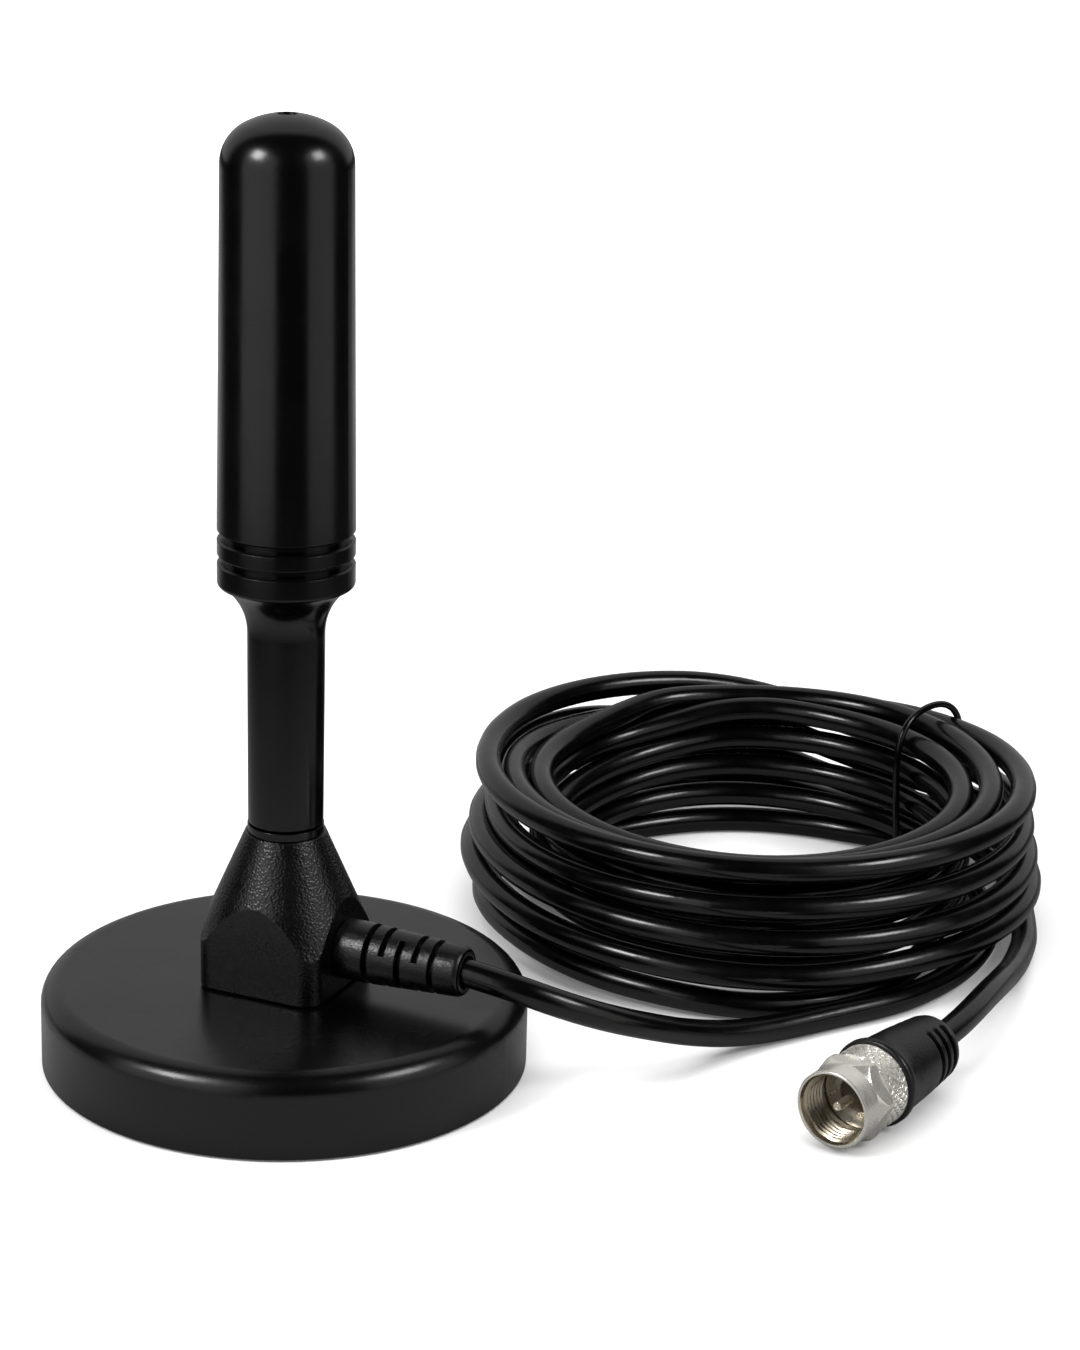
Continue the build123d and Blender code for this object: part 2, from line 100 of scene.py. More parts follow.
coil_low, coil_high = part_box("cable_coil")
COIL_CENTRE = (coil_low + coil_high) / 2
COIL_TURN = 28.1            # the coil's own zero direction, in degrees from +X
COIL_STEP = 15              # degrees between two points of a turn
TIE_AT = 32.0               # where the tie crosses the coil, from the coil's zero direction
TIE_HUMP = 1.3              # how far the lowest turns rise over the tie's wire, in millimetres
TIE_HUMP_SPREAD = 14        # how far to each side that rise dies away, in degrees
LOWEST = 1.95               # height of a turn that lies on the floor: half the cable's diameter
LOW_TURNS = 2 * LOWEST + 1  # turns below this height lie over the tie's wire

# Each row is (angle, radius, height) in degrees and millimetres. The cable first runs once round
# the floor anticlockwise, under the outer turns, then it turns back inside the coil.
LAP = [
    (-82, 46.9, LOWEST), (-70, 44.6, LOWEST), (-50, 41.2, LOWEST), (-30, 38.6, LOWEST), (0, 35.6, LOWEST),
    (45, 33.6, LOWEST), (90, 33.0, LOWEST), (125, 33.2, LOWEST), (150, 37.2, 2.2), (175, 41.4, 4.0),
    (205, 42.9, 4.3), (220, 43.4, 3.9), (235, 43.5, 3.2), (250, 43.5, 2.7), (262, 43.4, LOWEST),
    (280, 41.2, LOWEST), (297, 37.6, LOWEST), (311, 33.9, LOWEST), (322, 31.3, LOWEST),
]
# Then it is wound clockwise: up the inside, out over the top and down the outside. Each list is
# one turn, and its last rows, at the back, are where it shifts to the next turn's place.
TURNS = [
    [(175, 32.2, 2.1), (150, 32.4, 3.9), (130, 32.6, 5.6), (97, 33.0, 6.5)],
    [(60, 32.4, 6.4), (0, 32.0, 6.2), (-90, 32.2, 5.6), (-185, 33.0, 6.7), (-230, 32.7, 9.6),
     (-263, 33.0, 11.5)],
    [(60, 32.4, 11.5), (0, 31.9, 11.2), (-90, 32.2, 10.2), (-185, 33.0, 11.3), (-230, 32.7, 13.7),
     (-253, 32.7, 15.3), (-263, 33.0, 16.3)],
    [(60, 32.4, 16.8), (0, 31.8, 16.3), (-90, 32.2, 14.9), (-150, 33.0, 16.2), (-185, 33.2, 16.5),
     (-230, 34.8, 17.0), (-253, 33.0, 19.1), (-263, 32.7, 20.7), (-280, 32.8, 21.6)],
    [(60, 32.2, 21.3), (0, 31.8, 21.2), (-90, 32.5, 19.3), (-185, 33.3, 21.0), (-230, 33.6, 21.3),
     (-253, 36.5, 22.3), (-263, 36.8, 22.1), (-280, 37.0, 22.1)],
    [(60, 37.4, 22.3), (45, 37.5, 22.4), (0, 36.4, 22.2), (-90, 36.8, 20.7), (-185, 37.5, 21.4),
     (-208, 38.2, 20.6), (-230, 38.8, 19.5), (-263, 39.9, 18.4), (-280, 40.4, 19.0)],
    [(60, 41.2, 20.6), (45, 41.4, 21.2), (0, 41.3, 22.5), (-90, 41.5, 22.5), (-185, 41.5, 23.4),
     (-230, 43.0, 23.5), (-263, 42.7, 22.7), (-278, 44.5, 20.3), (-295, 44.9, 17.1)],
    [(60, 42.8, 15.9), (45, 42.4, 16.0), (20, 41.6, 16.5), (0, 41.2, 17.1), (-90, 42.7, 17.1),
     (-185, 39.8, 17.0), (-208, 42.0, 19.0), (-230, 42.8, 19.3), (-247, 43.1, 17.6), (-263, 42.1, 15.2),
     (-280, 42.2, 15.3), (-292, 41.9, 14.9)],
    [(60, 41.5, 11.3), (30, 41.4, 11.4), (0, 42.0, 12.4), (-50, 43.0, 12.0), (-90, 43.6, 12.1),
     (-185, 42.4, 14.0), (-230, 43.3, 12.0), (-263, 43.6, 10.2), (-280, 43.5, 10.0), (-290, 43.0, 9.3)],
    [(60, 41.1, 7.0), (30, 41.8, 6.9), (0, 42.8, 7.9), (-45, 43.6, 7.8), (-70, 44.0, 7.5), (-90, 44.2, 6.9),
     (-144, 44.2, 8.7), (-185, 43.6, 10.0), (-230, 43.9, 7.2), (-263, 43.9, 4.8), (-280, 43.9, 4.4),
     (-303, 43.9, LOWEST)],
    [(38, 43.6, LOWEST), (5, 42.7, LOWEST), (-18, 44.1, LOWEST)],
]
HOLLOW_R = 32.0             # the turn-back runs along a circle of this radius
BACK_R = 15.5               # bend of the turn-back, then of the way round to the winding
ROUND_R = 16.0
BACK_AT = -48.0             # where the turn-back touches that circle
BACK_START = BACK_AT + 10   # the lap comes in at a slant, so it joins the bend this far on
BEND_POINTS = 6


def coil_point(angle, radius, height):
    """Point of the coil, in metres, from degrees and millimetres."""
    turn = radians(angle + COIL_TURN)
    return (COIL_CENTRE.x + radius * MM * cos(turn), COIL_CENTRE.y + radius * MM * sin(turn), height * MM)


def slope(rows, index, column):
    """Change per degree of a column at a row, taken from the rows beside it."""
    before, after = rows[max(index - 1, 0)], rows[min(index + 1, len(rows) - 1)]
    return (after[column] - before[column]) / (after[0] - before[0])


def between(rows, angle):
    """Radius and height at an angle, on a smooth line through the rows."""
    index = next(i for i in range(len(rows) - 1) if (rows[i][0] - angle) * (rows[i + 1][0] - angle) <= 0)
    a, b = rows[index], rows[index + 1]
    run = b[0] - a[0]
    t = (angle - a[0]) / run
    found = []
    for column in (1, 2):
        leave, arrive = slope(rows, index, column) * run, slope(rows, index + 1, column) * run
        found.append(a[column] + t * leave + t * t * (3 * (b[column] - a[column]) - 2 * leave - arrive)
                     + t ** 3 * (leave + arrive - 2 * (b[column] - a[column])))
    return found


def tie_hump(angle):
    """Rise of the lowest turns at an angle, where they cross the tie's wire."""
    off = (angle - TIE_AT + 180) % 360 - 180
    return TIE_HUMP * exp(-(off / TIE_HUMP_SPREAD) ** 2)


def turn_points(rows, start, end, step):
    """Control points between two angles, a little outside the turns, as the spline cuts inside them."""
    swell = 1 / cos(radians(COIL_STEP / 2))
    points = []
    angle = start
    while (end - angle) * step >= 0:
        radius, height = between(rows, angle)
        if height < LOW_TURNS:
            height += tie_hump(angle)
        points.append(coil_point(angle, radius * swell, height))
        angle += step
    return points


def bend_points(centre, radius, start, end, count):
    """Control points of a flat bend on the floor inside the coil."""
    sweep = (end - start) / count
    swell = 1 / cos(radians(sweep / 2))
    points = []
    for i in range(count):
        angle = radians(start + sweep * (i + 0.5))
        x, y = centre[0] + radius * swell * cos(angle), centre[1] + radius * swell * sin(angle)
        points.append(coil_point(degrees(atan2(y, x)), sqrt(x * x + y * y), LOWEST))
    return points


def cable_points():
    """The whole cable: lead, lap, the two bends of the turn-back, the wound turns and the tail."""
    wound = [(angle - 360 * max(turn - 1, 0), radius, height)
             for turn, rows in enumerate(TURNS) for angle, radius, height in rows]
    # Both bends touch the hollow's circle and each other, which fixes the angle between their centres.
    out_back, out_round = HOLLOW_R - BACK_R, HOLLOW_R - ROUND_R
    cosine = (out_back ** 2 + out_round ** 2 - (BACK_R + ROUND_R) ** 2) / (2 * out_back * out_round)
    round_at = BACK_AT - degrees(acos(cosine))
    back = (out_back * cos(radians(BACK_AT)), out_back * sin(radians(BACK_AT)))
    around = (out_round * cos(radians(round_at)), out_round * sin(radians(round_at)))
    meet = degrees(atan2(around[1] - back[1], around[0] - back[0]))
    points = LEAD_ROUTE + turn_points(LAP, LAP[0][0] + COIL_STEP, LAP[-1][0], COIL_STEP)
    points += bend_points(back, BACK_R, BACK_START, meet, BEND_POINTS)
    points += bend_points(around, ROUND_R, meet + 180, round_at + 360, BEND_POINTS)
    points += turn_points(wound, round_at + 360 - COIL_STEP / 2, wound[-1][0] + COIL_STEP, -COIL_STEP)
    return points + TAIL_ROUTE


def spline_object(name, points, radius, resolution=6):
    """Round wire along one smooth curve."""
    curve = bpy.data.curves.new(name, "CURVE")
    curve.dimensions = "3D"
    spline = curve.splines.new("NURBS")
    spline.points.add(len(points) - 1)
    for place, point in zip(spline.points, points):
        place.co = (*point, 1.0)
    spline.order_u = 3
    spline.use_endpoint_u = True
    curve.resolution_u = resolution
    curve.bevel_depth = radius
    curve.bevel_resolution = 6
    curve.use_fill_caps = True
    piece = bpy.data.objects.new(name, curve)
    bpy.context.scene.collection.objects.link(piece)
    return piece


cable = spline_object("cable", cable_points(), CABLE_D / 2)


# ---------------------------------------------------------------- materials
NOISE_LOW, NOISE_HIGH = 0.3, 0.7        # the part of a noise's range that colour and roughness follow


class Shader:
    """A node material on a Principled shader, with textures in the object's own metres."""

    def __init__(self, name, color, roughness, metallic=0.0):
        self.material = bpy.data.materials.new(name)
        self.material.use_nodes = True
        self.tree = self.material.node_tree
        self.shader = next(n for n in self.tree.nodes if n.type == "BSDF_PRINCIPLED")
        self.shader.inputs["Base Color"].default_value = (*color, 1.0)
        self.shader.inputs["Roughness"].default_value = roughness
        self.shader.inputs["Metallic"].default_value = metallic
        self.place = self.add("ShaderNodeTexCoord").outputs["Object"]
        self.color = color
        self.roughness = roughness
        self.normal = None

    def add(self, kind):
        return self.tree.nodes.new(kind)

    def join(self, output, node, socket):
        self.tree.links.new(output, node.inputs[socket])

    def noise(self, size, detail=3.0, stretch=None):
        """Noise whose lumps are about size metres across."""
        node = self.add("ShaderNodeTexNoise")
        node.inputs["Scale"].default_value = 1 / size
        node.inputs["Detail"].default_value = detail
        node.inputs["Roughness"].default_value = 0.55
        source = self.place
        if stretch:
            mapping = self.add("ShaderNodeMapping")
            mapping.inputs["Scale"].default_value = stretch
            self.join(source, mapping, "Vector")
            source = mapping.outputs["Vector"]
        self.join(source, node, "Vector")
        return node.outputs["Fac"]

    def cells(self, size):
        """Moulded grain with cells about size metres across."""
        node = self.add("ShaderNodeTexVoronoi")
        node.feature = "SMOOTH_F1"
        node.inputs["Scale"].default_value = 1 / size
        node.inputs["Smoothness"].default_value = 0.7
        self.join(self.place, node, "Vector")
        return node.outputs["Distance"]

    def mottle(self, size, amount):
        """Base colour that drifts by amount either way."""
        ramp = self.add("ShaderNodeValToRGB")
        ramp.color_ramp.elements[0].position = NOISE_LOW
        ramp.color_ramp.elements[1].position = NOISE_HIGH
        for element, factor in zip(ramp.color_ramp.elements, (1 - amount, 1 + amount)):
            element.color = (*[min(c * factor, 1.0) for c in self.color], 1.0)
        self.join(self.noise(size), ramp, "Fac")
        self.join(ramp.outputs["Color"], self.shader, "Base Color")
        return self

    def polish(self, size, amount, stretch=None):
        """Roughness that drifts by amount either way."""
        spread = self.add("ShaderNodeMapRange")
        spread.inputs["From Min"].default_value = NOISE_LOW
        spread.inputs["From Max"].default_value = NOISE_HIGH
        spread.inputs["To Min"].default_value = self.roughness - amount
        spread.inputs["To Max"].default_value = self.roughness + amount
        self.join(self.noise(size, stretch=stretch), spread, "Value")
        self.join(spread.outputs["Result"], self.shader, "Roughness")
        return self

    def bump(self, height, depth):
        """Relief of depth metres, on top of any relief or soft edge there is already."""
        node = self.add("ShaderNodeBump")
        node.inputs["Strength"].default_value = 1.0
        node.inputs["Distance"].default_value = depth
        self.join(height, node, "Height")
        if self.normal is not None:
            self.join(self.normal, node, "Normal")
        self.normal = node.outputs["Normal"]
        self.join(self.normal, self.shader, "Normal")
        return self

    def soft_edges(self, radius):
        """Rounds the look of sharp CAD edges."""
        node = self.add("ShaderNodeBevel")
        node.samples = 4
        node.inputs["Radius"].default_value = radius
        self.normal = node.outputs["Normal"]
        self.join(self.normal, self.shader, "Normal")
        return self


def satin_base():
    s = Shader("satin_base", (0.0006, 0.0006, 0.0007), 0.26).soft_edges(0.0002)
    s.mottle(0.02, 0.15).polish(0.012, 0.05)
    return s.bump(s.noise(0.00035, detail=2.0), 0.000012).material


def grained_block():
    s = Shader("grained_block", (0.0008, 0.0008, 0.0009), 0.3).soft_edges(0.00035)
    s.mottle(0.006, 0.15).polish(0.004, 0.05)
    return s.bump(s.cells(0.00036), 0.00006).bump(s.noise(0.00018), 0.00001).material


def moulded_rubber(name, color, roughness, grain):
    s = Shader(name, color, roughness).soft_edges(0.0002)
    s.mottle(0.005, 0.2).polish(0.003, 0.06)
    return s.bump(s.cells(grain), 0.00003).material


def gloss_black(name, roughness):
    s = Shader(name, (0.0007, 0.0007, 0.0008), roughness).soft_edges(0.00015)
    s.mottle(0.015, 0.15).polish(0.01, roughness * 0.18)
    return s.bump(s.noise(0.0012, detail=2.0), 0.000006).material


def cable_jacket():
    s = Shader("cable_jacket", (0.0008, 0.0008, 0.0009), 0.21)
    s.mottle(0.01, 0.25).polish(0.006, 0.06)
    return s.bump(s.noise(0.0025, detail=1.0), 0.00003).bump(s.noise(0.0003), 0.000004).material


def nickel(name, color, roughness, metallic=0.78):
    s = Shader(name, color, roughness, metallic=metallic)
    s.mottle(0.002, 0.05).polish(0.0012, 0.05)
    return s.bump(s.noise(0.0006, detail=2.0), 0.000008).material


def plain_metal(name, color, roughness):
    s = Shader(name, color, roughness, metallic=1.0)
    s.mottle(0.003, 0.12).polish(0.002, 0.08, stretch=(1, 1, 6))
    return s.bump(s.noise(0.0003), 0.00001).material


def plain_plastic(name, color, roughness):
    s = Shader(name, color, roughness)
    s.mottle(0.004, 0.1).polish(0.003, 0.06)
    return s.bump(s.noise(0.0004), 0.00001).material


MATERIALS = {
    "base_paint": satin_base(),
    "foot_rubber": moulded_rubber("foot_rubber", (0.02, 0.02, 0.02), 0.7, 0.0006),
    "plated_steel": plain_metal("plated_steel", (0.55, 0.55, 0.56), 0.3),
    "ferrite": plain_plastic("ferrite", (0.05, 0.05, 0.055), 0.6),
    "copper": plain_metal("copper", (0.75, 0.42, 0.27), 0.28),
    "block_plastic": grained_block(),
    "brass": plain_metal("brass", (0.75, 0.57, 0.28), 0.28),
    "relief_rubber": moulded_rubber("relief_rubber", (0.0012, 0.0012, 0.0014), 0.36, 0.0004),
    "dielectric": plain_plastic("dielectric", (0.8, 0.8, 0.77), 0.45),
    "seat_gloss": gloss_black("seat_gloss", 0.16),
    "mast_gloss": gloss_black("mast_gloss", 0.2),
    "board": plain_plastic("board", (0.03, 0.16, 0.08), 0.4),
    "former_plastic": plain_plastic("former_plastic", (0.72, 0.71, 0.66), 0.5),
    "radome_gloss": gloss_black("radome_gloss", 0.24),
    "cable_jacket": cable_jacket(),
    "tie_plastic": gloss_black("tie_plastic", 0.22),
    "boot_rubber": moulded_rubber("boot_rubber", (0.0015, 0.0015, 0.0017), 0.34, 0.0003),
    "nickel": nickel("nickel", (0.8, 0.77, 0.71), 0.28),
    "insulator_plastic": plain_plastic("insulator_plastic", (0.12, 0.09, 0.055), 0.45),
    "pin_metal": nickel("pin_metal", (0.72, 0.66, 0.55), 0.25),
}
SLOT_OF = {row["node"]: row["material_slot"] for row in frame["record"]["subparts"]}


def finish_piece(piece, body, slot):
    """Gives a new piece the material of its record slot, and its body."""
    piece.data.materials.clear()
    piece.data.materials.append(MATERIALS[slot])
    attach(piece, body)
    return piece


def round_edges(piece, width, segments, sharpest):
    """Rounds a piece's edges that turn by more than sharpest degrees, so that they catch the light."""
    edge = piece.modifiers.new("edge", "BEVEL")
    edge.width = width
    edge.segments = segments
    edge.limit_method = "ANGLE"
    edge.angle_limit = radians(sharpest)


for node, piece in frame["nodes"].items():
    piece.data.materials.clear()
    piece.data.materials.append(MATERIALS[SLOT_OF[node]])
CRISP_PIECES = {"trim_ring": 0.00018, "collar": 0.00018, "seat_washer": 0.00015, "radome": 0.00018}
for node, width in CRISP_PIECES.items():
    round_edges(frame["nodes"][node], width, 3, 25)


# ---------------------------------------------------------------- mesh helpers
class Seat:
    """A place and direction that turned pieces are built on: axis is where their depth grows."""

    def __init__(self, origin, axis, up):
        self.origin = Vector(origin)
        self.axis = Vector(axis).normalized()
        self.up = Vector(up)
        self.side = self.axis.cross(self.up)

    def at(self, depth, radius, angle):
        """Point at a depth and radius in millimetres, and at an angle that starts upwards."""
        return (self.origin + self.axis * depth * MM
                + (self.up * cos(angle) + self.side * sin(angle)) * radius * MM)

    def measure(self, point):
        """Depth and radius of a point, in millimetres."""
        depth = (point - self.origin).dot(self.axis)
        return depth / MM, (point - self.origin - self.axis * depth).length / MM


def mesh_object(name, vertices, faces, sharp_angle=35.0):
    """Smooth-shaded object whose edges over sharp_angle degrees stay crisp."""
    mesh = bpy.data.meshes.new(name)
    mesh.from_pydata([tuple(v) for v in vertices], [], faces)
    mesh.validate()
    shape = bmesh.new()
    shape.from_mesh(mesh)
    bmesh.ops.recalc_face_normals(shape, faces=shape.faces)
    shape.to_mesh(mesh)
    shape.free()
    mesh.shade_smooth()
    mesh.set_sharp_from_angle(angle=radians(sharp_angle))
    piece = bpy.data.objects.new(name, mesh)
    bpy.context.scene.collection.objects.link(piece)
    return piece


def turned_grid(name, seat, rows, segments, sharp_angle=35.0):
    """Closed skin from rows of depth and radius. A radius may be a function of the angle."""
    vertices, faces = [], []
    for depth, radius in rows:
        for i in range(segments):
            angle = tau * i / segments
            vertices.append(seat.at(depth, radius(angle) if callable(radius) else radius, angle))
    count = len(rows)
    for row in range(count):
        for i in range(segments):
            j, k = (i + 1) % segments, (row + 1) % count
            faces.append((row * segments + i, row * segments + j, k * segments + j, k * segments + i))
    return mesh_object(name, vertices, faces, sharp_angle)


def soften(corners, steps=4):
    """Outline points from (depth, radius, rounding) corners, each rounded by an arc."""
    points = []
    count = len(corners)
    for i, (depth, radius, rounding) in enumerate(corners):
        here = Vector((depth, radius))
        if not rounding:
            points.append(tuple(here))
            continue
        before = Vector(corners[i - 1][:2]) - here
        after = Vector(corners[(i + 1) % count][:2]) - here
        start, end = here + before.normalized() * rounding, here + after.normalized() * rounding
        for s in range(steps + 1):
            t = s / steps
            points.append(tuple(start * (1 - t) ** 2 + here * 2 * t * (1 - t) + end * t * t))
    return points


def turned_piece(name, seat, corners, segments=96):
    return turned_grid(name, seat, soften(corners), segments)


# ---------------------------------------------------------------- the plug, in millimetres
PLUG = next(j for j in frame["joints"] if j["name"] == "nut_spin")
plug_seat = Seat(PLUG["pos_m"], [-c for c in PLUG["axis"]], (0, 0, 1))
NUT_TILT = radians(-5.0)
NUT_L = 10.4
COLLAR_R, COLLAR_END = 5.5, 3.2
HEX_FLAT, HEX_CORNER_R, HEX_END, HEX_CHAMFER = 5.5, 6.2, 6.0, 1.21
KNURL_R, KNURL_DEPTH, KNURL_COUNT, KNURL_RUN = 5.8, 0.3, 27, 1.3
THREAD_R, THREAD_DEPTH, THREAD_PITCH = 4.45, 0.42, 0.79
THREAD_SPAN = (0.5, 5.2)
NUT_SEGMENTS = 432


def wave(phase):
    """Triangle between 0 and 1 with period 1."""
    return abs((phase % 1.0) * 2 - 1)


def hex_radius(envelope):
    """Radius round the hexagon, cut down to a circle of radius envelope."""
    def radius(angle):
        off = (angle - NUT_TILT + pi / 6) % (pi / 3) - pi / 6
        return min(HEX_FLAT / cos(off), envelope)
    return radius


def knurl_radius(depth, share):
    """Radius round the crossed knurling at a depth. Share is 0 where it runs out."""
    def radius(angle):
        around = angle / tau * KNURL_COUNT
        along = (depth - HEX_END) / KNURL_RUN
        ridge = min(wave(around + along), wave(around - along))
        return KNURL_R - KNURL_DEPTH * (1 - min(ridge * 2.2, 1.0)) * share
    return radius


def thread_radius(depth, share):
    """Radius round the inside thread at a depth. Share is 0 where it runs out."""
    def radius(angle):
        ridge = wave(depth / THREAD_PITCH + angle / tau)
        return THREAD_R + THREAD_DEPTH * (1 - share * min(1.35 * ridge, 1.0))
    return radius


def nut_rows():
    """The nut's outline from its mouth over the outside to the rear, and back along the bore."""
    rows = [(0.12, 5.0), (0.0, 5.08), (0.0, 5.28), (0.06, 5.4), (0.2, COLLAR_R)]
    rows += [(COLLAR_END - 0.05, COLLAR_R)]
    for i in range(8):
        share = i / 7
        corner = COLLAR_R + (HEX_CORNER_R - COLLAR_R) * share
        rows.append((COLLAR_END + HEX_CHAMFER * share, hex_radius(corner)))
    rows += [(HEX_END - 0.25, hex_radius(HEX_CORNER_R)), (HEX_END - 0.1, hex_radius(HEX_CORNER_R - 0.1))]
    steps = 52
    low, high = HEX_END, NUT_L - 0.25
    for i in range(steps + 1):
        depth = low + (high - low) * i / steps
        rows.append((depth, knurl_radius(depth, min(1.0, i / 3, (steps - i) / 3))))
    rows += [(NUT_L - 0.05, KNURL_R - 0.2), (NUT_L, KNURL_R - 0.4), (NUT_L, 3.8), (NUT_L - 0.1, 3.62)]
    rows += [(NUT_L - 1.5, 3.62), (NUT_L - 1.6, 3.7), (NUT_L - 1.6, 4.9), (THREAD_SPAN[1] + 0.15, 4.95)]
    low, high = THREAD_SPAN
    steps = 60
    for i in range(steps + 1):
        depth = high - (high - low) * i / steps
        rows.append((depth, thread_radius(depth, min(1.0, i / 5, (steps - i) / 6))))
    return rows


def make_nut():
    """Coupling nut with a round front, a hexagon, a knurled rear, and a threaded bore in a darker, browner nickel
    that paints the shade inside the recess.
    """
    nut = turned_grid("nut_detailed", plug_seat, nut_rows(), NUT_SEGMENTS, 32.0)
    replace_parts(finish_piece(nut, "nut", "nickel"), "coupling_nut")
    # Painted shade: a darker, browner nickel on the bore's faces stands in for the shade inside the nut.
    nut.data.materials.append(nickel("nickel_in_painted_shade", (0.55, 0.49, 0.38), 0.3, 1.0))
    # The faces inside the bore, which get that painted shade.
    for face in nut.data.polygons:
        depth, radius = plug_seat.measure(face.center)
        face.material_index = int(0.15 < depth < NUT_L and radius < THREAD_R + THREAD_DEPTH + 0.1)
    return nut


BOOT_BRIDGE = radians(26)       # half width of the smooth strips along the boot's top and bottom
BOOT_GROOVES = (20.4, 22.3, 24.2)
BOOT_GROOVE_W, BOOT_GROOVE_D = 0.9, 0.9
BOOT_OUTLINE = [                # depth and radius
    (10.5, 6.0), (10.62, 6.2), (10.85, 6.3), (11.5, 6.3), (11.8, 6.15), (12.1, 5.85), (12.6, 5.73),
    (15.5, 5.62), (19.0, 5.4), (22.5, 5.07), (25.4, 4.78), (26.1, 4.6), (26.6, 4.3), (26.88, 3.9),
    (27.0, 3.4),
]


def boot_radius(depth):
    """Outer radius of the boot without its grooves."""
    for (a, low), (b, high) in zip(BOOT_OUTLINE, BOOT_OUTLINE[1:]):
        if depth <= b:
            return low + (high - low) * (depth - a) / (b - a)
    return BOOT_OUTLINE[-1][1]


def grooved_radius(depth):
    """The boot's radius at an angle: its grooves leave smooth strips along the top and bottom."""
    cut = 0.0
    for start in BOOT_GROOVES:
        inside = min(depth - start, start + BOOT_GROOVE_W - depth)
        cut = max(cut, min(1.0, (inside + 0.12) / 0.24))

    def radius(angle):
        from_bridge = abs((angle + pi / 2) % pi - pi / 2) - BOOT_BRIDGE
        share = max(0.0, min(1.0, from_bridge / 0.05))
        return boot_radius(depth) - BOOT_GROOVE_D * cut * share
    return radius


def make_boot():
    """Rubber boot with a flange in front and ribs at the cable's end."""
    depths = [10.5, 10.62, 10.85, 11.5, 11.8, 12.1, 12.6, 14.0, 15.5, 17.2, 19.0, 20.0]
    for start in BOOT_GROOVES:
        for wall in (start, start + BOOT_GROOVE_W):
            depths += [wall - 0.13, wall - 0.06, wall, wall + 0.06, wall + 0.13]
    depths += [25.4, 26.1, 26.6, 26.88, 27.0]
    rows = [(depth, grooved_radius(depth)) for depth in depths]
    rows += [(27.0, 2.15), (26.8, 1.96), (12.5, 1.96), (12.5, 3.7), (10.5, 3.7)]
    boot = turned_grid("boot_detailed", plug_seat, rows, 192, 40.0)
    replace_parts(finish_piece(boot, "base", "boot_rubber"), "connector_boot")
    return boot


def make_pin():
    """Centre pin with a dimpled tip."""
    corners = [(1.3, 0.0, 0.0), (1.42, 0.2, 0.05), (1.3, 0.42, 0.06), (1.34, 0.6, 0.08), (1.6, 0.65, 0.1),
               (16.9, 0.65, 0.0), (17.0, 0.0, 0.0)]
    pin = turned_piece("pin_detailed", plug_seat, corners, 48)
    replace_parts(finish_piece(pin, "base", "pin_metal"), "centre_pin")
    return pin


# ---------------------------------------------------------------- the coil's tie, in millimetres
TIE_WIRE_R = 0.00055            # metres
TIE_START = radians(58.1)       # the tie's upright inside the coil, seen from the coil's middle
TIE_INNER_R = 29.0
TIE_RUN = radians(71.0)         # the direction it crosses the turns in
# Distance from the coil's middle and height, from under the turns up inside them and over to the outside.
TIE_OVER = [
    (44.6, 0.6), (37.0, 0.6), (31.6, 0.6), (30.0, 1.0), (29.75, 3.0), (29.3, 8.0), (28.7, 13.0),
    (28.35, 17.5), (28.5, 21.0), (29.7, 24.0), (32.2, 25.8), (35.6, 26.5), (39.3, 26.3), (42.3, 25.0),
    (44.3, 22.8), (44.9, 20.4), (45.3, 17.6),
]
TIE_FOOT = [(44.6, 0.6), (46.2, 0.75), (46.6, 2.0), (46.4, 4.2)]
TWIST_AT, TWIST_TOP, TWIST_R = 45.75, 14.6, 0.56       # where the ends are twisted together
TWIST_POINTS, TWIST_TURN, TWIST_DROP = 23, 0.8, 0.42


def tie_point(out, height, along=0.0):
    """Point of the tie: distance from the coil's middle and height, in millimetres."""
    reach = out - TIE_INNER_R
    x = TIE_INNER_R * cos(TIE_START) + reach * cos(TIE_RUN) - along * sin(TIE_RUN)
    y = TIE_INNER_R * sin(TIE_START) + reach * sin(TIE_RUN) + along * cos(TIE_RUN)
    return (COIL_CENTRE.x + x * MM, COIL_CENTRE.y + y * MM, height * MM)


def twist_points(side):
    """One of the two twisted ends, from the top down."""
    points = []
    for i in range(TWIST_POINTS):
        turn = side + i * TWIST_TURN
        height = TWIST_TOP - i * TWIST_DROP
        points.append(tie_point(TWIST_AT + TWIST_R * cos(turn), height, TWIST_R * sin(turn)))
    return points


def make_tie():
    """Coated wire round the turns, its two ends twisted together outside."""
    over = [tie_point(*row) for row in TIE_OVER] + twist_points(0.0)
    foot = [tie_point(*row) for row in TIE_FOOT] + twist_points(pi)[::-1]
    wires = [spline_object("coil_tie_wire", over, TIE_WIRE_R, 4),
             spline_object("coil_tie_end", foot, TIE_WIRE_R, 4)]
    for wire in wires:
        wire.data.bevel_resolution = 4
        finish_piece(wire, "base", "tie_plastic")
    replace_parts(wires[0], "coil_tie")
    return wires


# ---------------------------------------------------------------- the strain relief, in millimetres
RELIEF_Z = 18.1
relief_seat = Seat((0, 0, RELIEF_Z * MM), (1, 0, 0), (0, 0, 1))
SLOT_START, SLOT_PITCH, SLOT_W = 13.75, 2.45, 0.9
SLOT_FLOOR_R, SLOT_REACH = 2.7, 6.0     # radius of the slots' floor, and of the cutters' outside
SLOT_BRIDGES = (0, 22, 25, 22, 0)       # half width of the bridges left in each slot, in degrees


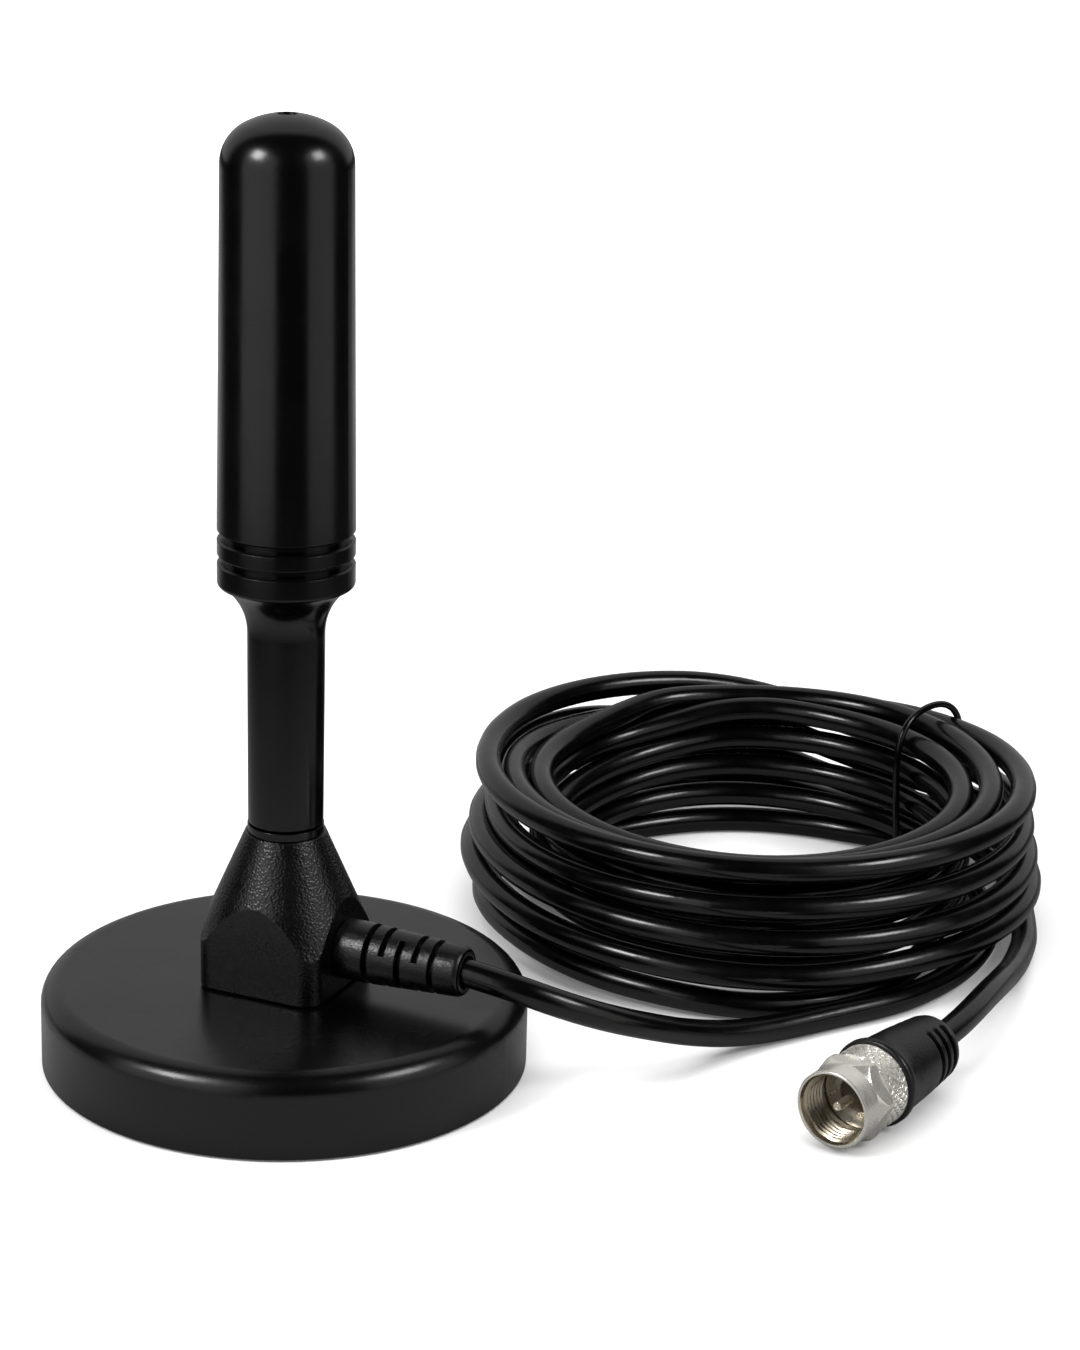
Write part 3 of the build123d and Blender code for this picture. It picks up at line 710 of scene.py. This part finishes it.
def slot_cutter(name, low, high, middle, half_width):
    """Cutter for a slot: a ring, or the part of a ring within half_width of an angle, in degrees."""
    closed = half_width >= 180
    steps = 64 if closed else max(8, round(half_width / 3))
    count = steps if closed else steps + 1
    vertices, faces = [], []
    for i in range(count):
        angle = radians(middle - half_width + 2 * half_width * i / steps)
        outline = ((low, SLOT_FLOOR_R), (high, SLOT_FLOOR_R), (high, SLOT_REACH), (low, SLOT_REACH))
        for depth, radius in outline:
            vertices.append(relief_seat.at(depth, radius, angle))
    for i in range(count if closed else count - 1):
        j = (i + 1) % count
        for k in range(4):
            m = (k + 1) % 4
            faces.append((i * 4 + k, i * 4 + m, j * 4 + m, j * 4 + k))
    if not closed:
        last = (count - 1) * 4
        faces += [(0, 1, 2, 3), (last + 3, last + 2, last + 1, last)]
    return mesh_object(name, vertices, faces)


def slot_cutters():
    """All of the sleeve's slots. The bridges are at the sides and at the top and bottom in turn."""
    cutters = []
    for index, bridge in enumerate(SLOT_BRIDGES):
        low = SLOT_START + SLOT_PITCH * index
        if not bridge:
            cutters.append(slot_cutter(f"slot_{index}", low, low + SLOT_W, 0, 180))
            continue
        middle = 0 if index % 2 else 90
        for side in (0, 180):
            name = f"slot_{index}_{side}"
            cutters.append(slot_cutter(name, low, low + SLOT_W, middle + side, 90 - bridge))
    return cutters


def make_relief():
    """Moulded sleeve with staggered slots, the kind that let a sleeve bend; this one does not bend."""
    corners = [(6.0, 1.96, 0.0), (6.0, 4.2, 0.2), (7.5, 4.2, 0.0), (7.5, 3.0, 0.0), (9.35, 3.0, 0.0),
               (9.35, 4.2, 0.3), (13.75, 4.2, 0.0), (27.7, 3.5, 0.6), (28.0, 2.9, 0.3), (28.0, 2.35, 0.1),
               (27.2, 2.15, 0.1), (27.0, 1.96, 0.0)]
    relief = turned_piece("relief_detailed", relief_seat, corners, 128)
    for cutter in slot_cutters():
        cut = relief.modifiers.new("cut", "BOOLEAN")
        cut.operation = "DIFFERENCE"
        cut.solver = "EXACT"
        cut.object = cutter
        bpy.context.view_layer.update()
        scene_now = bpy.context.evaluated_depsgraph_get()
        mesh = bpy.data.meshes.new_from_object(relief.evaluated_get(scene_now))
        relief.modifiers.clear()
        relief.data = mesh
        bpy.data.objects.remove(cutter)
    round_edges(relief, 0.00018, 2, 50)
    relief.data.shade_smooth()
    relief.data.set_sharp_from_angle(angle=radians(50))
    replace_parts(finish_piece(relief, "base", "relief_rubber"), "strain_relief")
    return relief


# ---------------------------------------------------------------- the pieces
finish_piece(cable, "base", "cable_jacket")
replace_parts(cable, "cable_lead", "cable_coil", "cable_tail")
nut = make_nut()
boot = make_boot()
pin = make_pin()
tie_wires = make_tie()
relief = make_relief()


# ---------------------------------------------------------------- floor and light
FLOOR_SIZE = 3.0
FLOOR_WHITE = 0.9
FLOOR_GAP = 0.00005                 # between the floor and the object's foot
# Places on the floor that its brightness depends on: middle, start, end, value near and value far. GLOW_AWAY is a
# painted glow the camera sees; the other two are painted pools of light in the floor's colour, seen only in
# reflections.
GLOW_AWAY = ((0.03, 0.04, 0.0), 0.2, 0.5, 0.1, 1.0)
PAINTED_LIGHT_POOL_ROUND_OBJECT = ((0.01, 0.01, 0.0), 0.03, 0.26, 0.3, 0.02)
PAINTED_LIGHT_BEHIND = ((-0.28, 0.53, 0.0), 0.3, 0.55, 0.5, 0.0)
DARK_ROOM = 0.015
BACKDROP = 0.5
BACKDROP_LIFT = 16                  # the backdrop's middle, in degrees above the floor
BACKDROP_EDGE = (0.42, 0.6)         # cosines between which it fades


def seen_by_camera(tree, near, far):
    """Value that is near for the camera's own view, and far in reflections: each a number or an output."""
    path = tree.nodes.new("ShaderNodeLightPath")
    pick = tree.nodes.new("ShaderNodeMapRange")
    for socket, value in (("To Min", far), ("To Max", near)):
        if isinstance(value, float):
            pick.inputs[socket].default_value = value
        else:
            tree.links.new(value, pick.inputs[socket])
    tree.links.new(path.outputs["Is Camera Ray"], pick.inputs["Value"])
    return pick.outputs["Result"]


def floor_fade(tree, middle, start, end, near, far):
    """Value that goes from near to far with the distance from a point of the floor."""
    place = tree.nodes.new("ShaderNodeTexCoord")
    away = tree.nodes.new("ShaderNodeVectorMath")
    away.operation = "DISTANCE"
    away.inputs[1].default_value = middle
    fade = tree.nodes.new("ShaderNodeMapRange")
    fade.interpolation_type = "SMOOTHSTEP"
    fade.inputs["From Min"].default_value = start
    fade.inputs["From Max"].default_value = end
    fade.inputs["To Min"].default_value = near
    fade.inputs["To Max"].default_value = far
    tree.links.new(place.outputs["Object"], away.inputs[0])
    tree.links.new(away.outputs["Value"], fade.inputs["Value"])
    return fade.outputs["Result"]


def painted_floor_light(tree):
    """How light the floor looks in reflections: a painted pool of light round the object, and painted light behind
    it.
    """
    most = tree.nodes.new("ShaderNodeMath")
    most.operation = "MAXIMUM"
    tree.links.new(floor_fade(tree, *PAINTED_LIGHT_POOL_ROUND_OBJECT), most.inputs[0])
    tree.links.new(floor_fade(tree, *PAINTED_LIGHT_BEHIND), most.inputs[1])
    return most.outputs["Value"]


def make_floor():
    """Floor just under the object's foot, of plain colour FLOOR_WHITE to the camera, with a painted glow that
    grows away from the object and painted pools of light that only reflections see.
    """
    size = FLOOR_SIZE
    corners = [(-size, -size, 0), (size, -size, 0), (size, size, 0), (-size, size, 0)]
    floor = mesh_object("floor", corners, [(0, 1, 2, 3)])
    paint = bpy.data.materials.new("floor_paint")
    paint.use_nodes = True
    tree = paint.node_tree
    shader = next(n for n in tree.nodes if n.type == "BSDF_PRINCIPLED")
    # Painted light: the floor has its plain colour for the camera, and the painted pools of light for reflections.
    floor_colour_with_painted_light = seen_by_camera(tree, FLOOR_WHITE, painted_floor_light(tree))
    tree.links.new(floor_colour_with_painted_light, shader.inputs["Base Color"])
    shader.inputs["Roughness"].default_value = 0.8
    shader.inputs["Specular IOR Level"].default_value = 0.0
    shader.inputs["Emission Color"].default_value = (1, 1, 1, 1)
    # Painted light: the floor glows for the camera, weakly near the object and fully far from it.
    glow = seen_by_camera(tree, floor_fade(tree, *GLOW_AWAY), 0.0)
    tree.links.new(glow, shader.inputs["Emission Strength"])
    floor.data.materials.append(paint)
    floor.location.z = -FLOOR_GAP


def studio_place(azimuth, elevation, distance):
    """Place round the mast, in degrees: azimuth 0 is on the camera's side and grows to its right."""
    turn = radians(azimuth) + atan2(CAMERA_AT[1], CAMERA_AT[0])
    lift = radians(elevation)
    return Vector((cos(turn) * cos(lift), sin(turn) * cos(lift), sin(lift))) * distance


def softbox(name, at, aim, size, radiance):
    """Rectangular lamp, of a given brightness whatever its size."""
    data = bpy.data.lights.new(name, "AREA")
    data.shape = "RECTANGLE"
    data.size, data.size_y = size
    data.energy = radiance * pi * size[0] * size[1]
    lamp = bpy.data.objects.new(name, data)
    bpy.context.scene.collection.objects.link(lamp)
    lamp.location = at
    lamp.rotation_euler = (Vector(aim) - Vector(at)).to_track_quat("-Z", "Y").to_euler()
    lamp.visible_camera = False
    return lamp


def panel(name, azimuth, distance, width, height, radiance):
    """Upright softbox standing on the floor and facing the mast."""
    at = studio_place(azimuth, 0, distance)
    at.z = height / 2
    return softbox(name, at, (0, 0, height / 2), (width, height), radiance)


def backdrop(tree):
    """World strength: a pale backdrop in a wide cone behind the object, and a dark room elsewhere."""
    direction = tree.nodes.new("ShaderNodeTexCoord")
    towards = tree.nodes.new("ShaderNodeVectorMath")
    towards.operation = "DOT_PRODUCT"
    towards.inputs[1].default_value = studio_place(180, BACKDROP_LIFT, 1)
    cone = tree.nodes.new("ShaderNodeMapRange")
    cone.interpolation_type = "SMOOTHSTEP"
    cone.inputs["From Min"].default_value = BACKDROP_EDGE[0]
    cone.inputs["From Max"].default_value = BACKDROP_EDGE[1]
    cone.inputs["To Min"].default_value = DARK_ROOM
    cone.inputs["To Max"].default_value = BACKDROP
    tree.links.new(direction.outputs["Generated"], towards.inputs[0])
    tree.links.new(towards.outputs["Value"], cone.inputs["Value"])
    return cone.outputs["Result"]


def make_lights():
    """A large lamp overhead that shows in no reflection, two small lamps, two panels and the room."""
    over = softbox("over", (0.03, 0.04, 1.2), (0.03, 0.04, 0), (1.6, 1.6), 2.4)
    over.visible_glossy = False
    softbox("lamp_left", studio_place(-59, 42, 0.75), (0, 0, 0.06), (0.2, 0.2), 20)
    softbox("lamp_right", studio_place(63, 41, 0.75), (0, 0, 0.06), (0.2, 0.2), 12)
    panel("panel_left", -49.5, 0.28, 0.33, 0.35, 0.8)
    panel("panel_right", 59.5, 0.28, 0.25, 0.35, 0.6)
    world = bpy.data.worlds.new("studio")
    world.use_nodes = True
    bpy.context.scene.world = world
    tree = world.node_tree
    background = next(n for n in tree.nodes if n.type == "BACKGROUND")
    background.inputs["Color"].default_value = (1, 1, 1, 1)
    tree.links.new(seen_by_camera(tree, 1.0, backdrop(tree)), background.inputs["Strength"])


make_floor()
make_lights()
bpy.context.scene.view_settings.view_transform = "Standard"
